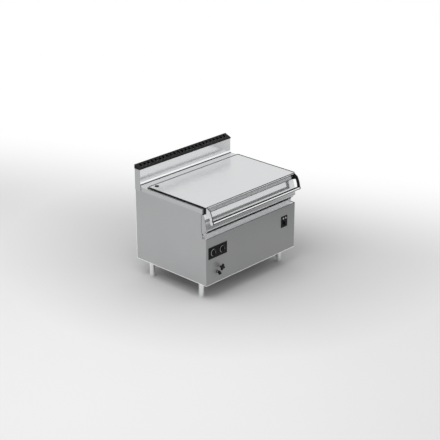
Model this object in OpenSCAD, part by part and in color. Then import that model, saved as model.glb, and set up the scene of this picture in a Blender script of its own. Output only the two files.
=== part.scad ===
// Tilting bratt pan: a free-standing cooking pan that tips forward about its low front edge,
// with a hinged lid, a full-width handle and a rear flue upstand.
// Lengths are in millimetres. X runs to the right, Y to the back and Z up from the floor.

/* [Cabinet] */
// Width over the side panels
body_w = 1200; // [1100:10:1400]
// Depth from the front panel's face to the back
body_d = 900; // [860:10:1000]
// Height of the cabinet's underside above the floor
leg_h = 164; // [140:1:200]
// Height of the front panel's top edge
front_top = 622; // [610:1:628]
// Height of the side rails' top face
rail_top = 894; // [885:1:900]
// Thickness of the sheet steel of panels and covers
sheet = 1.5; // [1:0.1:2]
// Side of the square tubes of the inner frame
tube = 30; // [25:1:36]
// Wall of the square tubes
tube_wall = 2; // [1.5:0.5:3]
// Thickness of the bottom plate
base_t = 1.5; // [1:0.1:3]
// Distance of the front posts behind the front panel
post_y = 60; // [56:1:64]
// Distance of the trough's back behind the front panel
trough_y = 50; // [48:1:51]
// Height of the trough's back edge below the tilt axis
trough_drop = 33; // [30:1:36]
// Depth of the trough below the front panel's top edge
trough_d = 6; // [4:1:40]
// Height of the bearers' top below the tilt axis
bearer_drop = 173; // [165:1:180]

/* [Top] */
// Width of the side rails
rail_w = 29; // [24:1:32]
// Height of the side rails
rail_h = 40; // [30:1:50]
// Distance of the side rails' front ends behind the front panel
rail_front = 45; // [40:1:60]
// Height of the rear deck's top face
deck_top = 915; // [912:1:918]
// Distance of the rear deck's front edge from the back
deck_front_in = 165; // [160:1:180]
// Depth of the rear deck
deck_d = 84; // [80:1:88]
// Depth of the flue upstand above its foot
upstand_d = 68; // [64:1:72]
// How far the upstand's foot stands out in front of its face
upstand_foot = 6; // [3:1:8]
// Height of the upstand's top above the floor
upstand_top = 1058; // [1000:1:1100]
// Height of the foot's shoulder above the deck
upstand_shoulder = 3; // [2:1:10]
// Height of the foot's slope
upstand_slope = 16; // [10:1:24]

/* [Flue grille] */
// Overhang of the grille on every side but the back
grille_over = 3.5; // [2:0.5:6]
// Height of the grille's front lip
grille_lip = 10; // [6:1:14]
// Height of the grille at the back
grille_h = 38; // [30:1:45]
// Thickness of the grille's plate
grille_t = 2; // [1.5:0.5:3]
// Distance between two slots
slot_pitch = 48; // [40:1:60]
// Width of a slot
slot_w = 24; // [16:1:30]
// Length of a slot down the slope
slot_l = 44; // [34:1:50]

/* [Pan] */
// Height of the tilt axis
axis_z = 678; // [674:0.5:684]
// Distance of the tilt axis behind the front panel
axis_y = 36; // [32:0.5:38]
// Gap between the pan's casing and each side rail
pan_side_gap = 5; // [3:0.5:5]
// Gap between the pan's casing and the rear deck
pan_rear_gap = 7; // [6:0.5:10]
// Space between casing and vessel at the sides
pan_wall_side = 28; // [20:1:30]
// Space between casing and vessel at the back
pan_wall_rear = 33; // [25:1:40]
// Space between casing and vessel at the front
pan_wall_front = 8; // [7:1:10]
// Sheet thickness of the vessel
vessel_t = 3; // [2:0.5:4]
// Depth of the vessel below its rim
vessel_depth = 226; // [200:1:226]
// Corner radius of the vessel
vessel_r = 40; // [25:1:60]
// Distance of the vessel's inner front face behind the front panel
vessel_front = 72; // [70:1:90]
// Thickness of the heated bottom plate under the vessel
heater_t = 15; // [8:1:15]
// Height of the pouring lip
lip_z = 848; // [840:1:850]
// Thickness of the rim flange
rim_t = 4; // [3:0.5:6]
// Fall of the pouring lip towards the vessel
lip_fall = 2; // [1:0.5:4]
// How far the heated plate stands out below the casing
heater_out = 2; // [1:0.5:4]
// Gap between the heated plate's edge and the vessel's walls
heater_in = 5; // [3:1:10]

/* [Pan front] */
// Place behind the front panel of the fascia's top edge
fascia_top_y = 30; // [24:1:36]
// Place of the fascia's nose, in front of the panel when negative
fascia_nose_y = -3; // [-10:1:2]
// Height of the fascia's nose
fascia_nose_z = 706; // [700:1:712]
// Radius of the fascia's gentle curve
fascia_r = 700; // [500:10:1500]
// Radius of the nose's turned-in edge
nose_r = 12; // [8:1:14]
// Sheet thickness of the fascia
fascia_t = 2; // [1.5:0.5:3]
// Depth of the pivot plates behind the casing's front
cheek_d = 60; // [50:1:80]
// Thickness of the end caps
cap_t = 3; // [2:0.5:4]
// Thickness of the pivot plates
cheek_t = 4; // [3:0.5:5]

/* [Tilt drive] */
// Radius of the pivot journals
journal_r = 11; // [9:0.5:12]
// Running clearance of journals and shafts
run_play = 0.05; // [0.02:0.01:0.09]
// Thickness of the bearing plates
ear_t = 10; // [8:0.5:10]
// Radius of the bearing plates round the journal
ear_r = 17; // [15:0.5:20]
// Module of the gears
gear_m = 2.5; // [2.5:0.1:2.6]
// Teeth of the gear on the pan
pan_teeth = 20; // [20:1:21]
// Teeth of the drive gear
drive_teeth = 24; // [22:1:25]
// Width of the gears
gear_w = 8; // [6:0.5:9]
// Radius of the drive shaft
drive_shaft_r = 8; // [6:0.5:9]
// Direction of the drive gear below the horizontal, seen from the tilt axis
drive_angle = 57; // [52:1:60]
// Gap between the trough's back and the bearing plates
trough_gap = 1.5; // [1:0.5:3]
// Depth of the bearing plates' feet
ear_foot = 62; // [55:1:70]
// Side gap between the turning plates and gears and their neighbours
side_play = 2; // [1.5:0.5:2.5]
// Width of the gear box
gearbox_w = 36; // [30:1:36]
// Height and depth of the gear box
gearbox_h = 60; // [56:1:64]
// Radius of the motor
motor_r = 28; // [24:1:30]
// Length of the motor
motor_l = 145; // [120:5:160]

/* [Lid] */
// Height of the lid's top face
lid_top = 922; // [919:1:924]
// Height of the lid's skirt
lid_skirt = 18; // [14:0.5:18.5]
// Thickness of the lid's edge
lid_edge = 3; // [3:0.5:6]
// Distance of the lid's skirt inside its sides
skirt_in = 16; // [14:1:20]
// Distance of the lid's skirt behind its front edge
skirt_back = 6; // [3:1:10]
// How far the side rubber strips stand out from the lid
seal_out = 2.5; // [0:0.5:4]
// Height of the rubber strip under the lid's front edge
front_seal_h = 4; // [3:0.5:5]
// Gap between the rubber strips and the side rails
seal_gap = 13; // [6:0.5:14]
// Half width of the lid less than half the body
lid_side_in = 8; // [5:1:12]
// Distance of the lid's front edge behind the front panel
lid_front = 8; // [4:1:12]
// Gap between the lid and the rear deck
lid_rear_gap = 5; // [4.5:0.5:7]
// Distance of the hinge axis from the lid's top and rear faces
hinge_in = 8; // [8:0.5:9]
// Radius of the hinge knuckles
knuckle_r = 6; // [5:0.25:6]
// Radius of the hinge pin
hinge_pin_r = 3; // [2:0.25:3.5]
// Distance of each hinge from the lid's side
hinge_in_x = 117; // [110:1:180]
// Depth of the hinge leaves in front of the hinge axis
leaf_d = 40; // [30:1:50]
// Length of the pan's hinge knuckle
knuckle_l = 24; // [16:1:40]
// Length of each of the lid's hinge knuckles
leaf_l = 18; // [12:1:30]
// Side gap between knuckles
knuckle_gap = 0.3; // [0.2:0.1:1]
// Distance of the vent's middle from the lid's left side
vent_in_x = 60; // [40:1:80]
// Distance of the vent's middle from the lid's rear side
vent_in_y = 47; // [40:1:60]
// Radius of the vent
vent_r = 17; // [12:0.5:22]
// Distance of the stiffening channels from the middle
channel_x = 250; // [200:5:300]
// Width of the stiffening channels
channel_w = 40; // [30:1:50]
// Height of the stiffening channels
channel_h = 9; // [6:0.5:9.5]
// Radius of the rubber buffers
buffer_r = 9; // [6:0.5:10]
// Gap between the lid's apron and the side rails' front ends
apron_gap = 3; // [2:0.5:5]

/* [Handle] */
// Radius of the handle bar
bar_r = 15; // [12:0.5:16]
// Distance of the bar's centre in front of the front panel
bar_y = 58; // [52:1:66]
// Height of the bar's centre
bar_z = 788; // [780:1:796]
// Radius of the arms' curve, along the middle of the strip
arm_r = 204; // [190:1:220]
// How far the arms' lower ends lie behind the bar's centre
arm_shift = 3; // [0:1:8]
// How far the centre of the arms' curve lies below the bar's centre
arm_drop = 11; // [6:1:16]
// Width of the arms' curved strip
arm_w = 28; // [22:1:32]
// Thickness of the arms' black inner part
arm_t = 9; // [6:0.5:12]
// Thickness of the arms' steel cover
arm_cover_t = 3; // [2:0.5:4]
// Height of the bright strip in the bar's front
strip_h = 11; // [8:0.5:14]
// Depth of the bright strip
strip_d = 4; // [3:0.5:6]
// Turn of the bright strip above the horizontal
strip_turn = 15; // [0:1:25]
// How far the arms' round feet stand out round the bar
arm_rim = 2; // [1:0.5:3]

/* [Controls] */
// Width of the dial plate
dial_plate_w = 236; // [220:1:250]
// Height of the dial and switch plates
plate_h = 111; // [100:1:120]
// Distance of the dial plate's edge from the cabinet's left side
dial_plate_in = 29; // [29:1:60]
// Width of the switch plate
switch_plate_w = 86; // [80:1:100]
// Distance of the switch plate's edge from the cabinet's right side
switch_plate_in = 107; // [100:1:120]
// Height of both plates' middle
plate_z = 472.5; // [460:0.5:490]
// Thickness of both plates
plate_t = 3; // [2:0.5:5]
// Distance between the two dial knobs
knob_pitch = 115; // [100:1:130]
// Radius of the dial knobs
knob_r = 26; // [22:0.5:30]
// Length of the dial knobs
knob_l = 24; // [18:1:32]
// Outer radius of the dial rings
ring_r = 36; // [34:0.5:40]
// Height of the dial rings above the plate
ring_h = 3; // [2:0.5:5]
// Radius of the knobs' spindles
spindle_r = 4; // [3:0.25:5]
// Radius of the main switch's knob
switch_knob_r = 17; // [14:0.5:20]
// Radius of the two push buttons
button_r = 8; // [6:0.5:10]
// Travel of the push buttons
button_travel = 3; // [2:0.5:4]
// Distance between the push buttons
button_pitch = 34; // [30:1:40]
// How far the spindles reach behind the front panel
spindle_l = 28; // [20:1:36]
// Clearance of the spindles in the panel
hole_play = 1; // [0.5:0.5:2]

/* [Tap] */
// Place of the tap's handle from the cabinet's left side
tap_in = 168; // [160:1:200]
// Height of the tap's handle
tap_z = 315; // [300:1:330]
// Radius of a lobe's centre on the tap's handle
lobe_at = 20; // [16:0.5:22]
// Radius of a lobe of the tap's handle
lobe_r = 11; // [9:0.5:13]
// Distance of the tap's handle in front of the panel
tap_reach = 30; // [24:1:40]
// Radius of the outlet pipe
outlet_r = 15; // [12:0.5:17]
// Distance of the outlet below the tap's handle
outlet_drop = 48; // [46:1:56]
// Distance of the outlet to the left of the tap's handle
outlet_side = 24; // [20:1:44]
// Length of the outlet in front of the panel, up to its bend
outlet_out = 22; // [18:1:30]
// Length of the outlet below its bend
outlet_l = 22; // [18:1:30]
// Wall of the outlet pipe
outlet_wall = 3; // [2:0.5:4]
// Thickness of the tap's handle
lobe_t = 18; // [12:1:22]
// Radius of the tap handle's hub
tap_hub_r = 18; // [15:0.5:20]
// Radius of the tap handle's stem
tap_stem_r = 12; // [9:0.5:14]
// Turn of the tap's handle at rest
lobe_turn = 65; // [0:1:89]

/* [Fasteners] */
// Radius of the screw heads under the base
screw_r = 6; // [4:0.5:8]
// Height of the screw heads
screw_h = 2.5; // [2:0.5:4]
// Gap left at the ends of the cross bars for the weld
weld_gap = 0.2; // [0.1:0.1:0.5]

/* [Legs] */
// Radius of the legs
leg_r = 26; // [22:0.5:30]
// Distance of the legs' middle from the cabinet's sides
leg_in_x = 71; // [60:1:90]
// Distance of the legs' middle from the front and the back
leg_in_y = 130; // [100:1:160]
// Height of the adjustable feet at their lowest setting
foot_h = 40; // [30:1:50]
// Radius of the feet's stems
stem_r = 20; // [14:0.5:22]
// How far the feet can be screwed out
foot_travel = 40; // [20:1:45]

/* [Heating] */
// Radius of the burner tubes
burner_r = 20; // [16:0.5:24]
// Number of burner tubes
burner_n = 6; // [3:1:6]
// Distance between the burner tubes
burner_pitch = 170; // [140:1:175]
// Radius of the gas manifold
manifold_r = 13; // [10:0.5:15]
// Gap between the manifold and the burner box
manifold_gap = 12; // [8:1:20]
// Radius of the injectors
injector_r = 6; // [4:0.5:8]
// Distance of the burner box's sides inside the vessel's sides
box_in_side = 21.5; // [15:0.5:30]
// Distance of the burner box's front behind the vessel's front
box_in_front = 63; // [55:1:70]
// Distance of the burner box's back behind the vessel's back
box_out_rear = 11.5; // [5:0.5:20]
// Gap between the burner box and the pan's bottom
box_gap = 10; // [6:1:16]
// Height of the burners above the burner box's floor
burner_up = 55; // [45:1:60]
// Distance of the burners' ends inside the burner box
burner_in = 15; // [10:1:25]
// Distance of the burners' rests inside the burner box
rest_in = 60; // [40:1:100]
// Width of the burners' rests
rest_w = 10; // [6:1:16]
// Width of the flue duct
flue_w = 300; // [200:10:400]
// Height of the flue duct's level stretch
flue_h = 60; // [50:1:64]
// Depth of the flue duct's upright stretch
flue_d = 56; // [46:1:58]
// Distance of the flue duct's outlet below the upstand's top
flue_in = 40; // [20:1:60]
// Radius of the gas pipe from the valve to the manifold
feed_r = 8; // [6:0.5:9]
// Side of the gas valves
valve_w = 56; // [48:1:60]
// Depth of the gas valves
valve_d = 50; // [40:1:52]
// Distance of the gas inlet from the cabinet's left side
gas_in = 260; // [230:5:300]
// Distance of the water inlet from the cabinet's left side
water_in = 110; // [105:1:120]
// Distance of the cable gland from the cabinet's right side
gland_in = 170; // [140:5:200]
// Width of the terminal box
terminal_w = 150; // [120:5:180]
// Depth of the terminal box
terminal_d = 100; // [80:5:120]
// Height of the terminal box
terminal_h = 120; // [80:5:160]
// Distance of the inlets and the gland from the cabinet's back
inlet_in = 60; // [52:1:80]
// Difference between an inlet thread's radius and its pipe's
thread_step = 1.5; // [1:0.5:2]
// Radius of the gas inlet's thread
gas_inlet_r = 10.5; // [8:0.5:13]
// Radius of the water inlet's thread
water_inlet_r = 10.5; // [8:0.5:13]
// Length of both inlets below the cabinet
inlet_l = 25; // [20:1:40]
// Radius of the cable gland's bore
gland_bore_r = 8; // [5:0.5:10]

/* [Hidden] */
$fn = 64;

steel = [0.72, 0.72, 0.73];
bright_steel = [0.86, 0.86, 0.87];
dark_steel = [0.42, 0.42, 0.44];
black = [0.08, 0.08, 0.09];
half_w = body_w / 2;
inner_w = half_w - sheet;
// The handle's reach sets where the middle of the whole depth lies
handle_reach = bar_y + bar_r + arm_rim;
y_centre = (body_d - handle_reach) / 2;

rail_in = half_w - rail_w;
rail_low = rail_top - rail_h;
deck_front = body_d - deck_front_in;
deck_rear = deck_front + deck_d;
upstand_front = body_d - upstand_d;
skirt_low = lid_top - lid_skirt;

pan_half = rail_in - pan_side_gap;
pan_rear = deck_front - pan_rear_gap;
casing_t = sheet;
vessel_half = pan_half - casing_t - pan_wall_side;
vessel_rear = pan_rear - casing_t - pan_wall_rear;
vessel_floor = rail_top - vessel_depth;
pan_low = vessel_floor - vessel_t - heater_t;
casing_front = vessel_front - vessel_t - pan_wall_front;
casing_low = pan_low + heater_out;
lip_inner_z = lip_z - lip_fall;

base_top = leg_h + tube + base_t;
bearer_top = axis_z - bearer_drop;
bearer_low = bearer_top - tube;
trough_top = axis_z - trough_drop;
trough_low = front_top - trough_d;

cap_in = half_w - cap_t;
ear_in = pan_half + cheek_t + side_play;
gear_in = ear_in + ear_t + side_play;
ear_front = trough_y + sheet + trough_gap;
gearbox_top = pan_low - box_gap / 3;
pan_gear_r = gear_m * pan_teeth / 2;
drive_gear_r = gear_m * drive_teeth / 2;
drive_y = axis_y + (pan_gear_r + drive_gear_r) * cos(drive_angle);
drive_z = axis_z - (pan_gear_r + drive_gear_r) * sin(drive_angle);

lid_half = half_w - lid_side_in;
lid_rear = deck_front - lid_rear_gap;
lid_under = lid_top - lid_edge;
lip_top = lid_under - front_seal_h;
skirt_half = lid_half - skirt_in;
skirt_front = lid_front + skirt_back;
hinge_x = lid_half - hinge_in_x;
hinge_y = lid_rear - hinge_in;
hinge_z = lid_top - hinge_in;
arm_out = lid_half - arm_cover_t;
arm_in = arm_out - arm_t;
apron_low = lip_z + 2;
apron_rear = rail_front - apron_gap;
bar_at = [-bar_y, bar_z];
arm_centre = [arm_r - bar_y + arm_shift, bar_z - arm_drop];

box_half = vessel_half - box_in_side;
box_front = vessel_front + box_in_front;
box_rear = vessel_rear + box_out_rear;
box_top = pan_low - box_gap;
burner_z = bearer_top + burner_up;
manifold_y = box_front - manifold_gap - manifold_r;
flue_half = flue_w / 2;
flue_high = box_top - 15;
flue_low = flue_high - flue_h;
duct_y = [body_d - 6 - flue_d, body_d - 6];
dial_x = -half_w + dial_plate_in + dial_plate_w / 2;
switch_x = half_w - switch_plate_in - switch_plate_w / 2;
tap_x = -half_w + tap_in;
outlet_x = tap_x - outlet_side;
outlet_z = tap_z - outlet_drop;
inlet_y = body_d - inlet_in;
gas_x = -half_w + gas_in;
water_x = -half_w + water_in;
gland_x = half_w - gland_in;
valve_half = valve_w / 2;
valve_x = dial_x + knob_pitch / 2;
gas_run_z = base_top + 40;
water_run_z = base_top + 12;
tap_body_half = 22;
tap_body_d = 46;
switch_knob_z = plate_z - 18;
button_z = plate_z + 34;
vent_x = -lid_half + vent_in_x;
vent_y = lid_rear - vent_in_y;
buffer_x = (vessel_half + pan_half) / 2;

// Moves the front panel's frame so that the middle of the whole depth is at Y 0
module placed() translate([0, -y_centre, 0]) children();

// A box between two places on each axis
module block(x, y, z)
    translate([x[0], y[0], z[0]]) cube([x[1] - x[0], y[1] - y[0], z[1] - z[0]]);

// A stretch with the same length on both sides of its middle
function around(middle, half) = [middle - half, middle + half];

// A flat shape drawn in Y and Z, as thick as the stretch along X
module along_x(x0, x1)
    translate([x0, 0, 0]) rotate([90, 0, 90]) linear_extrude(x1 - x0) children();

// A round bar along X
module bar_x(r, x0, x1, y, z)
    translate([x0, y, z]) rotate([0, 90, 0]) cylinder(r = r, h = x1 - x0);

// A round bar along Y
module bar_y_dir(r, y0, y1, x, z)
    translate([x, y0, z]) rotate([-90, 0, 0]) cylinder(r = r, h = y1 - y0);

// The same shape on the right and, mirrored, on the left
module both_sides() {
    children();
    mirror([1, 0, 0]) children();
}

// A flat rectangle with round corners
module round_rect(x, y, r) {
    translate([x[0] + r, y[0]]) square([x[1] - x[0] - 2 * r, y[1] - y[0]]);
    translate([x[0], y[0] + r]) square([x[1] - x[0], y[1] - y[0] - 2 * r]);
    for (cx = [x[0] + r, x[1] - r], cy = [y[0] + r, y[1] - r])
        translate([cx, cy]) circle(r);
}

// A hollow square tube along Y
module tube_y(x, y, z)
    difference() {
        block(x, y, z);
        block([x[0] + tube_wall, x[1] - tube_wall], [y[0] - 1, y[1] + 1],
            [z[0] + tube_wall, z[1] - tube_wall]);
    }

// A hollow square tube along X
module tube_x(x, y, z)
    difference() {
        block(x, y, z);
        block([x[0] - 1, x[1] + 1], [y[0] + tube_wall, y[1] - tube_wall],
            [z[0] + tube_wall, z[1] - tube_wall]);
    }

// A pipe through a list of points, with a ball at each bend
module pipe(points, r) {
    for (i = [0:len(points) - 2]) {
        run = points[i + 1] - points[i];
        flat = norm([run[0], run[1]]);
        translate(points[i])
            rotate([0, atan2(flat, run[2]), atan2(run[1], run[0])])
                cylinder(r = r, h = norm(run));
    }
    for (i = [1:1:len(points) - 2]) translate(points[i]) sphere(r);
}

// Points of an arc about a centre
function arc(c, r, a0, a1, n) =
    [for (i = [0:n]) c + r * [cos(a0 + (a1 - a0) * i / n), sin(a0 + (a1 - a0) * i / n)]];

// Centre and end angles of the fascia's curve, from its nose to its top edge
fascia_a = [fascia_nose_y, fascia_nose_z];
fascia_b = [fascia_top_y, lip_z];
fascia_chord = fascia_b - fascia_a;
fascia_len = norm(fascia_chord);
fascia_rise = sqrt(fascia_r * fascia_r - fascia_len * fascia_len / 4);
fascia_c = (fascia_a + fascia_b) / 2
    + fascia_rise / fascia_len * [fascia_chord[1], -fascia_chord[0]];
fascia_a0 = atan2(fascia_a[1] - fascia_c[1], fascia_a[0] - fascia_c[0]);
fascia_a1 = atan2(fascia_b[1] - fascia_c[1], fascia_b[0] - fascia_c[0]);
function turned(a) = a < 0 ? a + 360 : a;
// The nose's arc starts square to the curve's lower end
nose_c = fascia_a + nose_r * [cos(fascia_a0 + 180), sin(fascia_a0 + 180)];
// Outline of the fascia's outer face, moved inwards by a depth
function fascia_face(inset) = concat(
    arc(fascia_c, fascia_r - inset, turned(fascia_a1), turned(fascia_a0), 12),
    arc(nose_c, nose_r - inset, turned(fascia_a0), 265, 6));

// Rear edge of the end caps and the matching notch of the side panels
notch_r = 420;
notch_y = 57;
notch_z = 748;
notch_gap = 4;
// How far the end caps reach below the tilt axis at the back
cap_heel = 13;
function notch_arc(gap, z0, z1) =
    [for (i = [0:10]) let (z = z0 + (z1 - z0) * i / 10)
        [notch_y + gap - notch_r + sqrt(notch_r * notch_r - pow(z - notch_z, 2)), z]];

// Outline of a gear with involute flanks and some play between teeth
function involute(a) = tan(a) * 180 / PI - a;
function flank(r, n, rho) =
    90 / n - 0.15 / r * 180 / PI + involute(20)
    - involute(acos(min(1, r * cos(20) / rho)));
function gear_points(n, start) = let (
    r = gear_m * n / 2,
    base = r * cos(20),
    radii = [r - 1.2 * gear_m, max(base, r - 1.1 * gear_m), r - 0.3 * gear_m,
        r + 0.4 * gear_m, r + 0.9 * gear_m])
    [for (i = [0:n - 1], k = [0:9]) let (
        rho = radii[k < 5 ? k : 9 - k],
        side = k < 5 ? -1 : 1,
        a = start + 360 * i / n + side * flank(r, n, max(rho, base)))
        rho * [cos(a), sin(a)]];

// Long bars of the base frame, at the front and the back
module base_rails_long() placed() color(dark_steel) {
    tube_x([-inner_w, inner_w], [sheet, sheet + tube], [leg_h, leg_h + tube]);
    tube_x([-inner_w, inner_w], [body_d - sheet - tube, body_d - sheet], [leg_h, leg_h + tube]);
}

// Short bars of the base frame, over the legs
module base_rails_short() placed() color(dark_steel) both_sides()
    tube_y([half_w - leg_in_x - tube / 2, half_w - leg_in_x + tube / 2],
        [sheet + tube, body_d - sheet - tube], [leg_h, leg_h + tube]);

// Bottom plate with the holes of the two inlets and the cable
module base_plate() placed() color(steel) difference() {
    block([-inner_w, inner_w], [sheet, body_d - sheet], [leg_h + tube, base_top]);
    for (p = [[gas_x, gas_inlet_r], [water_x, water_inlet_r], [gland_x, gland_bore_r + 4]])
        translate([p[0], inlet_y, leg_h]) cylinder(r = p[1] + 0.5, h = 2 * tube);
}

// The four fixed leg tubes under the base frame
module leg_tubes() placed() color(bright_steel)
    for (p = leg_places()) translate([p[0], p[1], foot_h]) difference() {
        cylinder(r = leg_r, h = leg_h - foot_h);
        translate([0, 0, -1]) cylinder(r = stem_r + run_play, h = leg_h - foot_h - 2);
    }

function leg_places() = [for (sx = [-1, 1], y = [leg_in_y, body_d - leg_in_y])
    [sx * (half_w - leg_in_x), y]];

// An adjustable foot: a round pad and a stem that runs in the leg tube
module foot(sx, y) placed() color(bright_steel)
    translate([sx * (half_w - leg_in_x), y, 0]) {
        cylinder(r1 = leg_r - 3, r2 = leg_r, h = 4);
        translate([0, 0, 4]) cylinder(r = leg_r, h = foot_h - 4);
        translate([0, 0, foot_h]) cylinder(r = stem_r, h = foot_travel + 25);
    }
module foot_front_left() foot(-1, leg_in_y);
module foot_front_right() foot(1, leg_in_y);
module foot_rear_left() foot(-1, body_d - leg_in_y);
module foot_rear_right() foot(1, body_d - leg_in_y);

// The four upright posts
module posts() placed() color(dark_steel) both_sides() {
    block([inner_w - tube, inner_w], [post_y, post_y + tube], [base_top, bearer_top]);
    block([inner_w - tube, inner_w], [body_d - sheet - tube, body_d - sheet], [base_top, rail_low]);
}

// Bars from the front posts to the rear ones, and two bars across that carry the burner box
module bearers() placed() color(dark_steel) {
    both_sides() block([inner_w - tube, inner_w], [post_y + tube, body_d - sheet - tube],
        [bearer_low, bearer_top]);
    for (y = [box_front + 15, box_rear - 15 - tube])
        block(around(0, inner_w - tube - weld_gap), [y, y + tube], [bearer_low, bearer_top]);
}

// Side panels with the notch that the pan's front turns in
side_outline = concat(
    [[sheet, leg_h], [body_d, leg_h], [body_d, rail_low]],
    notch_arc(notch_gap, rail_low, axis_z - cap_heel),
    [[trough_y, trough_top + 10], [trough_y, front_top], [sheet, front_top]]);
module side_panels() placed() color(steel) both_sides()
    along_x(inner_w, half_w) polygon(side_outline);

// Front panel with the holes of the controls
module front_panel() placed() color(steel) difference() {
    block([-half_w, half_w], [0, sheet], [leg_h, front_top]);
    for (s = [-1, 1]) bar_y_dir(spindle_r + hole_play, -1, sheet + 1, dial_x + s * knob_pitch / 2, plate_z);
    bar_y_dir(spindle_r + hole_play, -1, sheet + 1, switch_x, switch_knob_z);
    for (s = [-1, 1])
        bar_y_dir(button_r + hole_play, -1, sheet + 1, switch_x + s * button_pitch / 2, button_z);
    bar_y_dir(spindle_r + hole_play, -1, sheet + 1, tap_x, tap_z);
    bar_y_dir(outlet_r + 0.3, -1, sheet + 1, outlet_x, outlet_z);
}

// Rear panel
module rear_panel() placed() color(steel)
    block([-inner_w, inner_w], [body_d - sheet, body_d], [leg_h, rail_low]);

// Trough behind the front panel's top edge, which closes the cabinet under the pan's front
module trough_plate() placed() color(bright_steel) difference() {
    union() {
        block([-inner_w, inner_w], [trough_y, trough_y + sheet], [trough_low, trough_top]);
        block([-inner_w, inner_w], [sheet, trough_y + sheet], [trough_low, trough_low + sheet]);
    }
    mirror([1, 0, 0]) along_x(gear_in - 1, gear_in + gear_w + 1) difference() {
        translate([drive_y, drive_z]) circle(drive_gear_r + gear_m + 1);
        square([sheet, front_top]);
    }
}

// Side rails on the side panels' top edges
module side_rails() placed() color(bright_steel) both_sides() difference() {
    block([rail_in, half_w], [rail_front, deck_rear], [rail_low, rail_top]);
    block([rail_in + sheet, half_w - sheet], [rail_front + sheet, deck_rear + 1],
        [rail_low - 1, rail_top - sheet]);
}

// Deck behind the lid
module rear_deck() placed() color(bright_steel) difference() {
    block([-half_w, half_w], [deck_front, deck_rear], [rail_top, deck_top]);
    block([sheet - half_w, half_w - sheet], [deck_front + sheet, deck_rear - sheet],
        [rail_top - 1, deck_top - sheet]);
}

// Flue upstand: an open-topped box whose foot stands out a little
upstand_outline = [[upstand_front - upstand_foot, rail_low],
    [upstand_front - upstand_foot, deck_top + upstand_shoulder],
    [upstand_front, deck_top + upstand_shoulder + upstand_slope],
    [upstand_front, upstand_top], [body_d, upstand_top], [body_d, rail_low]];
upstand_hollow = [[upstand_front - upstand_foot + sheet, rail_low - 1],
    [upstand_front - upstand_foot + sheet, deck_top + upstand_shoulder],
    [upstand_front + sheet, deck_top + upstand_shoulder + upstand_slope],
    [upstand_front + sheet, upstand_top + 1], [body_d - sheet, upstand_top + 1],
    [body_d - sheet, rail_low - 1]];
module upstand() placed() color(bright_steel) difference() {
    along_x(-half_w, half_w) polygon(upstand_outline);
    along_x(-inner_w, inner_w) polygon(upstand_hollow);
}

// Sloping flue grille with a row of round-ended slots
grille_front = upstand_front - grille_over;
grille_slope = atan2(grille_h - grille_lip, body_d - grille_front);
grille_top = upstand_top + grille_h;
slot_count = floor((body_w - slot_pitch) / slot_pitch);
grille_outline = [[grille_front, upstand_top], [grille_front, upstand_top + grille_lip],
    [body_d, grille_top], [body_d, upstand_top]];
grille_hollow = [[grille_front + grille_t, upstand_top - 1],
    [grille_front + grille_t, upstand_top + grille_lip - grille_t],
    [body_d - grille_t, grille_top - 1.5 * grille_t], [body_d - grille_t, upstand_top - 1]];
module flue_grille() placed() color(black) difference() {
    along_x(-half_w - grille_over, half_w + grille_over) polygon(grille_outline);
    along_x(-half_w - grille_over + grille_t, half_w + grille_over - grille_t)
        polygon(grille_hollow);
    for (i = [0:slot_count - 1])
        translate([(i - (slot_count - 1) / 2) * slot_pitch, (grille_front + body_d) / 2,
                upstand_top + (grille_lip + grille_h) / 2])
            rotate([grille_slope, 0, 0]) translate([0, 0, -6]) linear_extrude(12)
                round_rect([-slot_w / 2, slot_w / 2], [-slot_l / 2, slot_l / 2], slot_w / 2 - 0.5);
}

// Bearing plates of the tilt axis, on the front posts; the left one carries the drive too
ear_outline = [[axis_y, axis_z - ear_r], [ear_front, axis_z - ear_r - 5],
    [ear_front, bearer_top], [ear_front + ear_foot, bearer_top], [ear_front + ear_foot, drive_z],
    [axis_y + 12, axis_z + ear_r - 4], [axis_y, axis_z]];
module bearing_plate() along_x(ear_in, ear_in + ear_t) difference() {
    union() {
        translate([axis_y, axis_z]) circle(ear_r);
        polygon(ear_outline);
    }
    translate([axis_y, axis_z]) circle(journal_r + run_play);
}
module tilt_bearings() placed() color(dark_steel) {
    bearing_plate();
    mirror([1, 0, 0]) difference() {
        bearing_plate();
        bar_x(drive_shaft_r + run_play, ear_in - 1, ear_in + ear_t + 1, drive_y, drive_z);
    }
}

// Geared motor on the left bearing plate's inner face
module gearmotor() placed() color(dark_steel) mirror([1, 0, 0]) difference() {
    union() {
        block([ear_in - gearbox_w, ear_in], [ear_front, ear_front + gearbox_h],
            [gearbox_top - gearbox_h, gearbox_top]);
        translate([ear_in - gearbox_w, ear_front + gearbox_h / 2, gearbox_top - gearbox_h - motor_l])
            cylinder(r = motor_r, h = motor_l);
    }
    bar_x(drive_shaft_r + run_play, ear_in - gearbox_w + 8, ear_in + 1, drive_y, drive_z);
}

// Drive gear and its shaft
module drive_gear() placed() color(steel) mirror([1, 0, 0]) {
    translate([gear_in, drive_y, drive_z]) rotate([90, 0, 90]) linear_extrude(gear_w)
        polygon(gear_points(drive_teeth, 180 - drive_angle + 180 / drive_teeth));
    bar_x(drive_shaft_r, ear_in - gearbox_w + 9, gear_in, drive_y, drive_z);
}

// Gear on the pan's left journal
module tilt_gear() placed() color(steel) mirror([1, 0, 0]) difference() {
    translate([gear_in, axis_y, axis_z]) rotate([90, 0, 90]) linear_extrude(gear_w)
        polygon(gear_points(pan_teeth, -drive_angle));
    bar_x(journal_r + 0.02, gear_in - 1, gear_in + gear_w + 1, axis_y, axis_z);
}

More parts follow.
